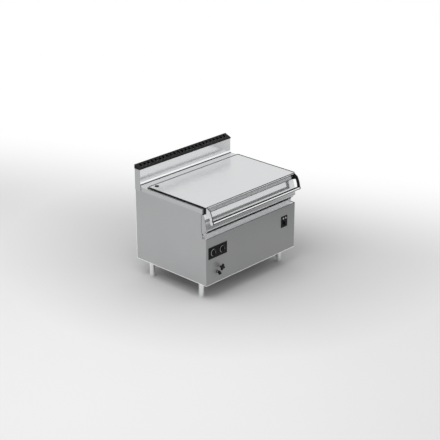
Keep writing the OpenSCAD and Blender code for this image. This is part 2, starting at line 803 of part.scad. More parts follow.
// Open-topped box round the burners, with rests inside and the flue's opening at the back
module combustion_box() placed() color(dark_steel) difference() {
    union() {
        difference() {
            block([-box_half, box_half], [box_front, box_rear], [bearer_top, box_top]);
            block([sheet - box_half, box_half - sheet], [box_front + sheet, box_rear - sheet],
                [bearer_top + sheet, box_top + 1]);
        }
        for (y = [box_front + rest_in, box_rear - rest_in - rest_w])
            block([sheet - box_half, box_half - sheet], [y, y + rest_w],
                [bearer_top + sheet, burner_z - burner_r]);
    }
    block([-flue_half, flue_half], [box_rear - 5, box_rear + 5], [flue_low, flue_high]);
    for (x = burner_places()) bar_y_dir(injector_r + 0.3, box_front - 5, box_front + 5, x, burner_z);
}

function burner_places() = [for (i = [0:burner_n - 1]) (i - (burner_n - 1) / 2) * burner_pitch];

// Burner tubes on the box's rests
module burners() placed() color(dark_steel)
    for (x = burner_places()) bar_y_dir(burner_r, box_front + burner_in, box_rear - burner_in, x, burner_z);

// Gas manifold with one injector for each burner
module manifold() placed() color([0.75, 0.6, 0.3]) {
    bar_x(manifold_r, burner_in - box_half, box_half - burner_in, manifold_y, burner_z);
    for (x = burner_places())
        bar_y_dir(injector_r, manifold_y, box_front + burner_in, x, burner_z);
}

// Flue duct from the burner box to the upstand
module flue_duct() placed() color(dark_steel) difference() {
    union() {
        block([-flue_half, flue_half], [box_rear, duct_y[1]], [flue_low, flue_high]);
        block([-flue_half, flue_half], duct_y, [flue_low, upstand_top - flue_in]);
    }
    block([sheet - flue_half, flue_half - sheet], [box_rear - 1, duct_y[1] - sheet],
        [flue_low + sheet, flue_high - sheet]);
    block([sheet - flue_half, flue_half - sheet], [duct_y[0] + sheet, duct_y[1] - sheet],
        [flue_low + sheet, upstand_top]);
}

// Gas valve and thermostat behind the two dial knobs
module gas_valves() placed() color([0.7, 0.7, 0.72])
    for (x = around(dial_x, knob_pitch / 2)) difference() {
        block(around(x, valve_half), [sheet, sheet + valve_d], around(plate_z, valve_half));
        bar_y_dir(spindle_r + run_play, sheet - 1, sheet + spindle_l + 2, x, plate_z);
    }

// Gas pipe from the inlet below the cabinet to the valve and on to the manifold
module gas_pipe() placed() color([0.75, 0.6, 0.3]) {
    pipe([[gas_x, inlet_y, leg_h - inlet_l], [gas_x, inlet_y, gas_run_z],
        [gas_x, sheet + valve_d / 2, gas_run_z], [valve_x, sheet + valve_d / 2, gas_run_z],
        [valve_x, sheet + valve_d / 2, plate_z - valve_half]], gas_inlet_r - thread_step);
    translate([gas_x, inlet_y, leg_h - inlet_l]) cylinder(r = gas_inlet_r, h = inlet_l);
    pipe([[valve_x, sheet + valve_d / 2, plate_z + valve_half],
        [valve_x, sheet + valve_d / 2, burner_z], [valve_x, manifold_y - manifold_r, burner_z]], feed_r);
}

// Water valve behind the front panel, with its supply pipe
module tap_body() placed() color([0.75, 0.6, 0.3]) difference() {
    union() {
        block([outlet_x - tap_body_half, tap_x + tap_body_half], [sheet, sheet + tap_body_d],
            [outlet_z - tap_body_half, tap_z + tap_body_half]);
        pipe([[water_x, inlet_y, leg_h - inlet_l], [water_x, inlet_y, water_run_z],
            [water_x, sheet + tap_body_d / 2, water_run_z],
            [water_x, sheet + tap_body_d / 2, outlet_z],
            [outlet_x - tap_body_half + 5, sheet + tap_body_d / 2, outlet_z]], water_inlet_r - thread_step);
        translate([water_x, inlet_y, leg_h - inlet_l]) cylinder(r = water_inlet_r, h = inlet_l);
    }
    bar_y_dir(spindle_r + run_play, sheet - 1, sheet + spindle_l + 2, tap_x, tap_z);
}

// Outlet: a short pipe from the panel that bends down and forwards
outlet_turn = 135;
module tap_outlet() placed() color(black) difference() {
    union() {
        bar_y_dir(outlet_r, -outlet_out, sheet, outlet_x, outlet_z);
        translate([outlet_x, -outlet_out, outlet_z]) sphere(outlet_r + 0.5);
        translate([outlet_x, -outlet_out, outlet_z]) rotate([outlet_turn, 0, 0])
            cylinder(r = outlet_r, h = outlet_l);
    }
    translate([outlet_x, -outlet_out, outlet_z]) rotate([outlet_turn, 0, 0])
        cylinder(r = outlet_r - outlet_wall, h = outlet_l + 1);
}

// Handle of the tap: four lobes round a hub
module tap_handle() placed() color(black) {
    for (a = [lobe_turn:90:lobe_turn + 270])
        bar_y_dir(lobe_r, -tap_reach - lobe_t, -tap_reach,
            tap_x + lobe_at * cos(a), tap_z + lobe_at * sin(a));
    bar_y_dir(tap_hub_r, -tap_reach - lobe_t, -tap_reach, tap_x, tap_z);
    bar_y_dir(tap_stem_r, -tap_reach, -4, tap_x, tap_z);
    bar_y_dir(spindle_r, -4, sheet + spindle_l, tap_x, tap_z);
}

// Box of the electrical terminals and igniter
module terminal_box() placed() color([0.6, 0.62, 0.64])
    block(around(gland_x - 15, terminal_w / 2), [inlet_y - 50 - terminal_d, inlet_y - 50],
        [base_top, base_top + terminal_h]);

// Cable gland in the bottom plate
module cable_gland() placed() color(black) difference() {
    union() {
        translate([gland_x, inlet_y, leg_h + 4]) cylinder(r = gland_bore_r + 4, h = 50);
        translate([gland_x, inlet_y, leg_h]) cylinder(r = gland_bore_r + 8, h = tube);
        translate([gland_x, inlet_y, base_top]) cylinder(r = gland_bore_r + 8, h = 8);
    }
    translate([gland_x, inlet_y, leg_h - 1]) cylinder(r = gland_bore_r, h = 70);
}

// Dial plate with a ring round each knob
module dial_plate() placed() color(black) difference() {
    union() {
        block(around(dial_x, dial_plate_w / 2), [-plate_t, 0], around(plate_z, plate_h / 2));
        for (s = [-1, 1]) difference() {
            bar_y_dir(ring_r, -plate_t - ring_h, -plate_t / 2, dial_x + s * knob_pitch / 2, plate_z);
            bar_y_dir(knob_r + 2, -plate_t - ring_h - 1, -plate_t, dial_x + s * knob_pitch / 2, plate_z);
        }
    }
    for (s = [-1, 1]) bar_y_dir(spindle_r + hole_play, -9, 1, dial_x + s * knob_pitch / 2, plate_z);
}

// A dial knob with a grip bar and its spindle
module dial_knob(x) placed() color(black) {
    bar_y_dir(knob_r, -plate_t - 9, -plate_t - 1, x, plate_z);
    bar_y_dir(knob_r - 4, -plate_t - knob_l + 6, -plate_t - 9, x, plate_z);
    block(around(x, 5), [-plate_t - knob_l, -plate_t - 9], around(plate_z, knob_r - 5));
    bar_y_dir(spindle_r, -plate_t - 1, sheet + spindle_l, x, plate_z);
}
module knob_left() dial_knob(dial_x - knob_pitch / 2);
module knob_right() dial_knob(dial_x + knob_pitch / 2);

// Switch plate with the main switch and the pan's two tilt buttons
module switch_plate() placed() color(black) difference() {
    union() {
        block(around(switch_x, switch_plate_w / 2), [-plate_t, 0], around(plate_z, plate_h / 2));
        block(around(switch_x, 30), [sheet, sheet + 45], around(plate_z, 46));
    }
    bar_y_dir(spindle_r + run_play, -9, sheet + spindle_l + 2, switch_x, switch_knob_z);
    for (x = around(switch_x, button_pitch / 2)) {
        bar_y_dir(button_r + 0.3, -9, sheet + button_travel, x, button_z);
        bar_y_dir(button_r - 2 + run_play, -9, sheet + spindle_l + 2, x, button_z);
    }
}

// Knob of the main switch
module switch_knob() placed() color(black) {
    bar_y_dir(switch_knob_r, -plate_t - 8, -plate_t - 1, switch_x, switch_knob_z);
    block(around(switch_x, 4), [-plate_t - 18, -plate_t - 8], around(switch_knob_z, switch_knob_r - 3));
    bar_y_dir(spindle_r, -plate_t - 1, sheet + spindle_l, switch_x, switch_knob_z);
}

// A push button and its plunger
module button(s) placed() color(bright_steel) {
    x = switch_x + s * button_pitch / 2;
    bar_y_dir(button_r, -plate_t - button_travel - 2, 1 - plate_t, x, button_z);
    bar_y_dir(button_r - 2, 1 - plate_t, sheet + spindle_l - 2 * button_travel, x, button_z);
}
module button_up() button(-1);
module button_down() button(1);

// Screw heads under the base frame's long bars
module base_screws() placed() color(bright_steel)
    for (sx = [-1, 0, 1], y = [sheet + tube / 2, body_d - sheet - tube / 2])
        translate([sx * (half_w - 40), y, leg_h - screw_h]) cylinder(r = screw_r, h = screw_h);

// Cooking vessel with its rim flange and the pouring lip
lip_front = fascia_top_y + fascia_t;
lip_outline = [[lip_front, lip_z], [lip_front, lip_z - vessel_t],
    [vessel_front, lip_inner_z - vessel_t], [vessel_front, lip_inner_z]];
module pan_vessel() placed() color(bright_steel) {
    difference() {
        union() {
            translate([0, 0, vessel_floor - vessel_t]) linear_extrude(vessel_depth + vessel_t)
                round_rect([-vessel_half - vessel_t, vessel_half + vessel_t],
                    [vessel_front - vessel_t, vessel_rear + vessel_t], vessel_r + vessel_t);
            block([-pan_half, pan_half], [casing_front, pan_rear], [rail_top - rim_t, rail_top]);
        }
        translate([0, 0, vessel_floor]) linear_extrude(vessel_depth + 1)
            round_rect([-vessel_half, vessel_half], [vessel_front, vessel_rear], vessel_r);
        block([-vessel_half + vessel_r, vessel_half - vessel_r], [casing_front - 1, vessel_front + 1],
            [lip_inner_z, rail_top + 1]);
        block([-pan_half - 1, pan_half + 1], [casing_front - 1, vessel_front - vessel_t],
            [lip_inner_z, rail_top + 1]);
    }
    along_x(casing_t - pan_half, pan_half - casing_t) polygon(lip_outline);
}

// Thick plate that spreads the burners' heat under the vessel
module heating_plate() placed() color(dark_steel)
    translate([0, 0, pan_low]) linear_extrude(heater_t)
        round_rect(around(0, vessel_half - heater_in),
            [vessel_front + heater_in, vessel_rear - heater_in], vessel_r);

// Insulation between the vessel and its casing
module pan_insulation() placed() color([0.85, 0.82, 0.7]) difference() {
    block([casing_t - pan_half, pan_half - casing_t], [casing_front + casing_t, pan_rear - casing_t],
        [casing_low, lip_inner_z - vessel_t - 4]);
    translate([0, 0, casing_low - 1]) linear_extrude(vessel_depth)
        round_rect([-vessel_half - vessel_t, vessel_half + vessel_t],
            [vessel_front - vessel_t, vessel_rear + vessel_t], vessel_r + vessel_t);
}

// Casing round the vessel, under the rim
module pan_casing() placed() color(steel) difference() {
    block([-pan_half, pan_half], [casing_front, pan_rear], [casing_low, rail_top - rim_t]);
    block([casing_t - pan_half, pan_half - casing_t], [casing_front + casing_t, pan_rear - casing_t],
        [casing_low - 1, rail_top]);
    block([-pan_half - 1, pan_half + 1], [casing_front - 1, vessel_front - vessel_t],
        [lip_inner_z - vessel_t - 3, rail_top + 1]);
}

// Full-width curved front of the pan
module pan_fascia() placed() color(bright_steel)
    along_x(-cap_in, cap_in) polygon(concat(fascia_face(0),
        [for (i = [len(fascia_face(0)) - 1:-1:0]) fascia_face(fascia_t)[i]]));

// End caps of the fascia
cap_outline = concat(fascia_face(0), [[axis_y, axis_z - cap_heel - 3]],
    notch_arc(0, axis_z - cap_heel, lip_z));
module pan_end_caps() placed() color(bright_steel) both_sides()
    along_x(cap_in, half_w) polygon(cap_outline);

// Pivot plates between the fascia and the casing
cheek_outline = concat(
    arc(fascia_c, fascia_r - fascia_t - weld_gap, turned(fascia_a1) + 0.6, turned(fascia_a0), 10),
    [[nose_c[0] + 2, nose_c[1]], [axis_y - 14, axis_z - 10], [axis_y, axis_z - ear_r],
    [casing_front + 2, casing_low], [casing_front + cheek_d, casing_low],
    [casing_front + cheek_d, lip_z - 10], [fascia_top_y + 8, lip_z - 10]]);
module pivot_plates() placed() color(dark_steel) both_sides() difference() {
    along_x(pan_half, pan_half + cheek_t) polygon(cheek_outline);
    bar_x(journal_r + 0.02, pan_half - 1, pan_half + cheek_t + 1, axis_y, axis_z);
}

// Journals of the tilt axis
module pivot_journals() placed() color(steel) both_sides()
    bar_x(journal_r, pan_half, cap_in, axis_y, axis_z);

// Hinge ears on the pan's rear rim
module hinge_ears() placed() color(steel)
    for (s = [-1, 1]) difference() {
        union() {
            bar_x(knuckle_r, s * hinge_x - knuckle_l / 2, s * hinge_x + knuckle_l / 2,
                hinge_y, hinge_z);
            block(around(s * hinge_x, knuckle_l / 2), [hinge_y - 5, hinge_y + 4], [rail_top, hinge_z]);
        }
        bar_x(hinge_pin_r + run_play, s * hinge_x - knuckle_l, s * hinge_x + knuckle_l,
            hinge_y, hinge_z);
    }

// Lid: a flat top with a thin edge and a skirt set back under it, open at the hinges
module lid_shell() placed() color(bright_steel) difference() {
    union() {
        block([-lid_half, lid_half], [lid_front, lid_rear], [lid_under, lid_top]);
        block([-skirt_half, skirt_half], [skirt_front, lid_rear], [skirt_low, lid_under]);
    }
    block([sheet - skirt_half, skirt_half - sheet], [skirt_front + sheet, lid_rear - sheet],
        [skirt_low - 1, lid_top - sheet]);
    for (s = [-1, 1])
        block(around(s * hinge_x, knuckle_l / 2 + 2), [hinge_y, lid_rear + 1],
            [skirt_low - 1, lid_top - sheet]);
    translate([vent_x, vent_y, skirt_low]) cylinder(r = vent_r, h = 2 * lid_skirt);
}

// Vent cap in the lid's left rear corner
module lid_vent() placed() color(black) translate([vent_x, vent_y, 0]) {
    translate([0, 0, lid_top]) cylinder(r = vent_r + 3, h = 3);
    translate([0, 0, skirt_low + 4]) cylinder(r = vent_r, h = lid_top - skirt_low - 4);
}

// Folded bar under the lid's front edge, which closes the pouring side
apron_outline = [[lid_front - 3, lip_top], [lid_front - 3, skirt_low - 4],
    [fascia_top_y + 2, apron_low], [apron_rear, apron_low], [apron_rear, skirt_low],
    [skirt_front, skirt_low], [skirt_front, lip_top]];
apron_hollow = [[lid_front + 2, skirt_low - sheet], [lid_front, skirt_low - 5],
    [fascia_top_y + 3.5, apron_low + sheet], [apron_rear - sheet, apron_low + sheet],
    [apron_rear - sheet, skirt_low - sheet]];
module lid_apron() placed() color(steel) difference() {
    along_x(-arm_in, arm_in) polygon(apron_outline);
    along_x(-arm_in - 1, arm_in + 1) polygon(apron_hollow);
}

// Stiffening channels under the lid
module lid_stiffeners() placed() color(steel)
    for (x = [-channel_x, channel_x], under = lid_top - sheet) difference() {
        block(around(x, channel_w / 2), [lid_front + 60, lid_rear - 30], [under - channel_h, under]);
        block(around(x, channel_w / 2 - sheet), [lid_front + 59, lid_rear - 29],
            [under - channel_h + sheet, under + 1]);
    }

// Rubber buffers that the lid rests on, and rubber strips under its side and front edges
module lid_buffers() placed() color(black) {
    for (sx = [-1, 1], y = [vessel_front + 60, vessel_rear - 60])
        translate([sx * buffer_x, y, rail_top]) cylinder(r = buffer_r, h = lid_top - sheet - rail_top);
    both_sides() block([skirt_half + 1, lid_half + seal_out], [apron_rear + 1, lid_rear - 12],
        [rail_top + seal_gap, lid_under]);
    block([-arm_in, arm_in], [lid_front - 1, skirt_front], [lip_top, lid_under]);
}

// Stretch of the bright strip, wider than the bar by a margin at its front
module strip_space()
    translate([0, bar_at[0], bar_at[1]]) rotate([-strip_turn, 0, 0])
        block([-arm_in, arm_in], [-2 * bar_r, strip_d - bar_r], around(0, strip_h / 2));

// Round handle bar in front of the fascia, with a groove for the strip
module handle_bar() placed() color(black) difference() {
    bar_x(bar_r, -arm_in, arm_in, bar_at[0], bar_at[1]);
    strip_space();
}

// Bright strip let into the bar's front
module handle_strip() placed() color(bright_steel) intersection() {
    bar_x(bar_r, -arm_in, arm_in, bar_at[0], bar_at[1]);
    strip_space();
}

// Outline of a handle arm: a gusset at the lid's front corner, a curved strip and a round foot
arm_from = 147;
arm_to = 177;
gusset_outline = [[apron_rear, lid_under], [lid_front, lid_under],
    arm_centre + (arm_r + arm_w / 2) * [cos(arm_from), sin(arm_from)],
    arm_centre + (arm_r - arm_w / 2) * [cos(arm_from + 5), sin(arm_from + 5)],
    [fascia_top_y + 2, apron_low], [apron_rear, apron_low]];
module arm_strip() {
    polygon(concat(arc(arm_centre, arm_r + arm_w / 2, arm_from, arm_to, 12),
        arc(arm_centre, arm_r - arm_w / 2, arm_to, arm_from, 12)));
    translate(bar_at) circle(bar_r + arm_rim);
}
module handle_arms() placed() color(black) both_sides() along_x(arm_in, arm_out) {
    arm_strip();
    polygon(gusset_outline);
}

// Bright covers outside the arms, which leave the gussets free beside the lid
module handle_covers() placed() color(bright_steel) both_sides() along_x(arm_out, lid_half) {
    arm_strip();
    intersection() {
        polygon(gusset_outline);
        translate([lid_front - 4 - arm_r, apron_low]) square([arm_r, lid_top - apron_low]);
    }
}

// Lid's hinge leaves with their pins
module hinge_leaves() placed() color(steel)
    for (s = [-1, 1]) {
        for (e = [-1, 1]) {
            x0 = s * hinge_x + e * (knuckle_l / 2 + knuckle_gap);
            x1 = x0 + e * leaf_l;
            bar_x(knuckle_r, min(x0, x1), max(x0, x1), hinge_y, hinge_z);
            block([min(x0, x1), max(x0, x1)], [hinge_y - leaf_d, hinge_y],
                [lid_top - sheet - 4, lid_top - sheet]);
        }
        bar_x(hinge_pin_r, s * hinge_x - knuckle_l / 2 - leaf_l, s * hinge_x + knuckle_l / 2 + leaf_l,
            hinge_y, hinge_z);
    }

base_rails_long();
base_rails_short();
base_plate();
leg_tubes();
posts();
bearers();
side_panels();
front_panel();
rear_panel();
trough_plate();
side_rails();
rear_deck();
upstand();
flue_grille();
tilt_bearings();
gearmotor();
combustion_box();
burners();
manifold();
flue_duct();
gas_valves();
gas_pipe();
tap_body();
tap_outlet();
terminal_box();
cable_gland();
dial_plate();
switch_plate();
base_screws();
pan_vessel();
heating_plate();
pan_insulation();
pan_casing();
pan_fascia();
pan_end_caps();
pivot_plates();
pivot_journals();
tilt_gear();
hinge_ears();
lid_shell();
lid_apron();
lid_stiffeners();
lid_buffers();
lid_vent();
handle_bar();
handle_strip();
handle_arms();
handle_covers();
hinge_leaves();
drive_gear();
foot_front_left();
foot_front_right();
foot_rear_left();
foot_rear_right();
knob_left();
knob_right();
switch_knob();
button_up();
button_down();
tap_handle();
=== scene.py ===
"""Looks of the tilting bratt pan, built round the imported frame. Lengths are in metres, or in millimetres
where a comment says so."""
import math

import bpy
import numpy as np
from mathutils import Matrix, Vector


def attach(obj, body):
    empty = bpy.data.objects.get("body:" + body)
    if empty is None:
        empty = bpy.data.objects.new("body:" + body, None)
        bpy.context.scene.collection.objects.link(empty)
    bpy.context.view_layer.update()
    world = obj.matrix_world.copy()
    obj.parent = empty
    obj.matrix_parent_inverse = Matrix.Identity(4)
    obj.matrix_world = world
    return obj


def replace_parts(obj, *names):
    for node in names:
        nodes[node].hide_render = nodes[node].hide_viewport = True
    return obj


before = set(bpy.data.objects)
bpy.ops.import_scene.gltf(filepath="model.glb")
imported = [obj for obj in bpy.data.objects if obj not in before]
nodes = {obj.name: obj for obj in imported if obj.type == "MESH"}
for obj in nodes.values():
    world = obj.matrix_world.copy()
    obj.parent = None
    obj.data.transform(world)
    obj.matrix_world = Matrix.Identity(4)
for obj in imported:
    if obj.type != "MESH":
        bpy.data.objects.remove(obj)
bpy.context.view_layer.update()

# Camera, fitted to the photograph's edges
FRAME_PX = 440
FOCAL_PX = 1217.954
CAMERA_AT = (-7.58525, -7.19255, 4.96159)
CAMERA_YAW = 46.569
CAMERA_PITCH = 23.094
CAMERA_REACH = 60.0
SENSOR = 36.0


def make_camera():
    """Camera at the photograph's place, in front on the left. It turns right by the yaw and down by the
    pitch."""
    data = bpy.data.cameras.new("camera")
    data.sensor_width = SENSOR
    data.lens = FOCAL_PX / FRAME_PX * SENSOR
    data.dof.use_dof = False
    data.clip_end = CAMERA_REACH
    cam = bpy.data.objects.new("camera", data)
    yaw, pitch = math.radians(CAMERA_YAW), math.radians(CAMERA_PITCH)
    level = math.cos(pitch)
    forward = Vector((math.sin(yaw) * level, math.cos(yaw) * level, -math.sin(pitch)))
    right = forward.cross(Vector((0, 0, 1))).normalized()
    up = right.cross(forward)
    turn = Matrix((right, up, -forward)).transposed()
    cam.matrix_world = Matrix.Translation(CAMERA_AT) @ turn.to_4x4()
    bpy.context.scene.collection.objects.link(cam)
    bpy.context.scene.camera = cam


# Node trees

class Tree:
    """A small helper that adds nodes to a material or a world and links them."""

    def __init__(self, owner):
        owner.use_nodes = True
        self.tree = owner.node_tree
        self.tree.nodes.clear()

    def add(self, kind, inputs=None, **settings):
        """Adds a node, sets its properties, and sets or links its inputs."""
        node = self.tree.nodes.new(kind)
        for key, value in settings.items():
            setattr(node, key, value)
        for key, value in (inputs or {}).items():
            self.put(node.inputs[key], value)
        return node

    def put(self, socket, value):
        """Links a socket to another one, or sets it to a value."""
        if isinstance(value, bpy.types.NodeSocket):
            self.tree.links.new(value, socket)
        else:
            socket.default_value = value

    def noise(self, vector, scale, detail=2.0, rough=0.5):
        """Fractal noise over a vector."""
        inputs = {"Vector": vector, "Scale": scale, "Detail": detail, "Roughness": rough}
        return self.add("ShaderNodeTexNoise", inputs).outputs["Fac"]

    def span(self, value, low, high, start=0.3, end=0.7):
        """Maps a value from start..end to low..high; without start and end it spreads noise."""
        inputs = {"Value": value, "From Min": start, "From Max": end, "To Min": low, "To Max": high}
        return self.add("ShaderNodeMapRange", inputs).outputs["Result"]

    def mix(self, factor, a, b):
        """A colour between a and b. The colour sockets go by number, because they share their names."""
        node = self.add("ShaderNodeMix", {0: factor, 6: a, 7: b}, data_type="RGBA")
        return node.outputs[2]

    def math(self, operation, a, b=0.0):
        """One arithmetic step."""
        return self.add("ShaderNodeMath", {0: a, 1: b}, operation=operation).outputs[0]

    def axes(self, vector):
        """The parts of a vector along X, Y and Z."""
        return self.add("ShaderNodeSeparateXYZ", {0: vector}).outputs


def grey(v, tint=0.0):
    """A nearly neutral colour; a positive tint is slightly blue."""
    return (v * (1 - tint), v, v * (1 + tint), 1.0)


def shade(color, factor):
    """A colour made darker or lighter by a factor, up to white."""
    return tuple(min(1.0, c * factor) for c in color) + (1.0,)


# Finishes. SIDE_FACE is where the object's left and right faces lie, to each side of the middle; there a
# steel's side factor paints shade. GRAIN_GLOSS and CLOUD_GLOSS are how far the grain and the broad noise
# move a steel's roughness up and down.

SIDE_FACE, SIDE_BLEND = 0.600, (0.0015, 0.0003)
GRAIN = {"X": (1.2, 120.0, 120.0), "Y": (120.0, 1.2, 120.0), "Z": (120.0, 120.0, 1.2)}
GRAIN_SCALE, GRAIN_DEPTH, GRAIN_GLOSS = 6.0, 0.0004, 0.025
CLOUD_SCALE, CLOUD_GLOSS = 2.3, 0.03
MOTTLE_SCALE = 9.0
SKIN_DEPTH = 0.0003
CAST_SHADE, CAST_BUMP = 0.88, 0.08


def open_finish(name):
    """A new material with its node tree, and the place on the object where its patterns are drawn."""
    mat = bpy.data.materials.new(name)
    t = Tree(mat)
    return mat, t, t.add("ShaderNodeTexCoord").outputs["Object"]


def close_finish(t, colour, roughness, height, bump, depth, constants):
    """Ends a material with a bump from a height, and a shader with its colour, roughness and constants."""
    bumps = t.add("ShaderNodeBump", {"Strength": bump, "Distance": depth, "Height": height})
    inputs = {"Base Color": colour, "Roughness": roughness, "Normal": bumps.outputs["Normal"], **constants}
    shader = t.add("ShaderNodeBsdfPrincipled", inputs)
    t.add("ShaderNodeOutputMaterial", {"Surface": shader.outputs[0]})


def steel(name, value, rough, grain="X", spread=0.035, bump=0.04, tint=0.01, metallic=1.0, side=1.0):
    """Brushed steel: noise drawn out along the grain varies roughness and height, and broad noise varies
    colour. The side factor paints shade on the object's left and right faces: their colour is darker by it."""
    mat, t, place = open_finish(name)
    drawn = t.add("ShaderNodeMapping", {"Vector": place, "Scale": GRAIN[grain]}).outputs["Vector"]
    lines = t.noise(drawn, GRAIN_SCALE, 4.0, 0.6)
    cloud = t.noise(place, CLOUD_SCALE, 3.0)
    dark, light = grey(value * (1 - spread), tint), grey(value * (1 + spread), tint)
    colour = t.mix(t.span(cloud, 0.0, 1.0), dark, light)
    colour = t.mix(t.span(lines, 0.0, 0.5), colour, grey(value * (1 - 2 * spread), tint))
    # Painted shade: the left and right faces take a darker colour, by the side factor.
    if side < 1.0:
        across = t.math("ABSOLUTE", t.axes(place)["X"])
        side_shade_mask = t.span(across, 0.0, 1.0, *(SIDE_FACE - inset for inset in SIDE_BLEND))
        colour = t.mix(side_shade_mask, colour, grey(value * side, tint))
    fine = t.span(lines, rough - GRAIN_GLOSS, rough + GRAIN_GLOSS)
    roughness = t.math("ADD", fine, t.span(cloud, -CLOUD_GLOSS, CLOUD_GLOSS))
    close_finish(t, colour, roughness, lines, bump, GRAIN_DEPTH, {"Metallic": metallic})
    return mat


def coated(name, color, rough, grain_size=900.0, bump=0.15, gloss=0.5, spread=0.15):
    """Paint, enamel or plastic: fine noise for its skin, and broad noise for its colour and roughness."""
    mat, t, place = open_finish(name)
    skin = t.noise(place, grain_size, 2.0)
    cloud = t.noise(place, MOTTLE_SCALE, 3.0)
    colour = t.mix(t.span(cloud, 0.0, 1.0), shade(color, 1 - spread), shade(color, 1 + spread))
    roughness = t.span(cloud, rough - 0.05, rough + 0.06)
    close_finish(t, colour, roughness, skin, bump, SKIN_DEPTH, {"Specular IOR Level": gloss})
    return mat


def metal(name, color, rough, scale=40.0):
    """Plain metal with a mottled colour and gloss."""
    mat, t, place = open_finish(name)
    cloud = t.noise(place, scale, 4.0)
    colour = t.mix(t.span(cloud, 0.0, 1.0), shade(color, CAST_SHADE), shade(color, 1.0))
    roughness = t.span(cloud, rough - 0.06, rough + 0.08)
    close_finish(t, colour, roughness, cloud, CAST_BUMP, SKIN_DEPTH, {"Metallic": 1.0})
    return mat


# The sheet steels front, side, lid, top, apron, rail, upstand and ledge are one steel in painted light and
# shade: their values are set apart by how light falls on each, darker on the front panel and the apron and
# lighter on the upstand and the trough's ledge. The rail's and the upstand's side factors paint shade on
# their left and right faces.
MATERIALS = {
    "front": steel("steel_front", 0.28, 0.42, metallic=0.5),
    "side": steel("steel_side", 0.42, 0.36, "Y"),
    "lid": steel("steel_lid", 0.67, 0.24, spread=0.015, bump=0.03),
    "top": steel("steel_top", 0.66, 0.24),
    "apron": steel("steel_apron", 0.46, 0.28, spread=0.01, bump=0.01),
    "rail": steel("steel_rail", 0.60, 0.40, "Y", metallic=0.3, side=0.72),
    "upstand": steel("steel_upstand", 0.94, 0.20, spread=0.02, metallic=0.8, side=0.45),
    "polished": steel("steel_polished", 0.69, 0.11, spread=0.02, bump=0.02, metallic=0.65),
    "bar": steel("steel_bar", 0.62, 0.16, bump=0.02),
    # strip: the handle's bright strip, and the apron's fold bead, whose near-white paints the lid edge's
    # highlight.
    "strip": steel("steel_strip_and_highlight", 0.97, 0.25, spread=0.01, bump=0.01, metallic=0.5),
    "vessel": steel("steel_vessel", 0.60, 0.30),
    "leg": steel("steel_leg", 0.74, 0.14, "Z", spread=0.02, bump=0.02),
    # rim: bright steel for the folded-edge beads, a painted highlight along the bottom edges and rear
    # corners.
    "rim": steel("steel_rim_highlight", 0.92, 0.30, metallic=0.6),
    "ledge": steel("steel_ledge", 0.76, 0.30, spread=0.01, bump=0.01, metallic=0.7),
    "inner": steel("steel_inner", 0.66, 0.33),
    "machined": metal("steel_machined", (0.62, 0.62, 0.63), 0.3, 60.0),
    "frame": coated("frame_paint", (0.12, 0.12, 0.125), 0.45, 400.0),
    "enamel": coated("black_enamel", (0.004, 0.004, 0.004), 0.4, 700.0, 0.1, 0.12),
    "plate": coated("black_plate", (0.004, 0.004, 0.005), 0.45, 1200.0, 0.1, 0.12),
    "plastic": coated("black_plastic", (0.004, 0.004, 0.005), 0.4, 1500.0, 0.2, 0.16),
    "rubber": coated("buffer_rubber", (0.006, 0.006, 0.006), 0.85, 600.0, 0.3, 0.15),
    "fibre": coated("ceramic_fibre", (0.75, 0.72, 0.63), 0.95, 300.0, 0.6),
    "brass": metal("brass", (0.72, 0.53, 0.25), 0.28),
    "cast": metal("cast_metal", (0.5, 0.5, 0.51), 0.45, 90.0),
    "mark": coated("pale_marks", (0.38, 0.38, 0.38), 0.5, 900.0, 0.05),
    "lens": coated("button_lens", (0.42, 0.43, 0.43), 0.25, 900.0, 0.05),
}

# Finish of each CAD node
FINISH = {
    "front": ["front_panel", "base_plate", "rear_panel"],
    "side": ["side_panels", "pan_end_caps"],
    "lid": ["lid_shell", "lid_stiffeners"],
    "top": ["rear_deck"],
    "apron": ["lid_apron"],
    "ledge": ["trough_plate"],
    "rail": ["side_rails", "tilt_bearings", "pivot_plates"],
    "upstand": ["upstand"],
    "polished": ["pan_fascia"],
    "bar": ["handle_covers"],
    "strip": ["handle_strip"],
    "vessel": ["pan_vessel"],
    "leg": ["leg_tubes", "foot_front_left", "foot_front_right", "foot_rear_left", "foot_rear_right"],
    "inner": ["pan_casing"],
    "machined": ["pivot_journals", "tilt_gear", "drive_gear", "hinge_ears", "hinge_leaves", "base_screws"],
    "frame": ["base_rails_long", "base_rails_short", "posts", "bearers", "heating_plate", "burners",
              "combustion_box", "flue_duct"],
    "enamel": ["flue_grille", "gearmotor"],
    "plate": ["dial_plate", "switch_plate"],
    "plastic": ["handle_bar", "handle_arms", "lid_vent", "knob_left", "knob_right", "switch_knob",
                "tap_handle", "tap_outlet", "cable_gland"],
    "rubber": ["lid_buffers"],
    "fibre": ["pan_insulation"],
    "brass": ["manifold", "gas_pipe", "tap_body"],
    "cast": ["gas_valves", "terminal_box"],
    "lens": ["button_up", "button_down"],
}

# Radius in millimetres of the rounded edges of CAD nodes, and the sharpest angle in degrees that stays plain
ROUNDED = {
    "lid_shell": 1.6, "side_rails": 0.7, "rear_deck": 0.7, "upstand": 0.7, "front_panel": 0.6,
    "side_panels": 0.6, "dial_plate": 0.8, "switch_plate": 0.8, "handle_arms": 1.0, "handle_covers": 0.8,
    "handle_bar": 0.5, "handle_strip": 0.5, "flue_grille": 0.8, "leg_tubes": 0.8, "foot_front_left": 1.2,
    "foot_front_right": 1.2, "foot_rear_left": 1.2, "foot_rear_right": 1.2, "pan_end_caps": 0.7,
    "lid_apron": 0.6, "lid_vent": 0.8, "trough_plate": 0.6, "base_rails_long": 1.5, "base_rails_short": 1.5,
}
PLAIN_ANGLE = 35


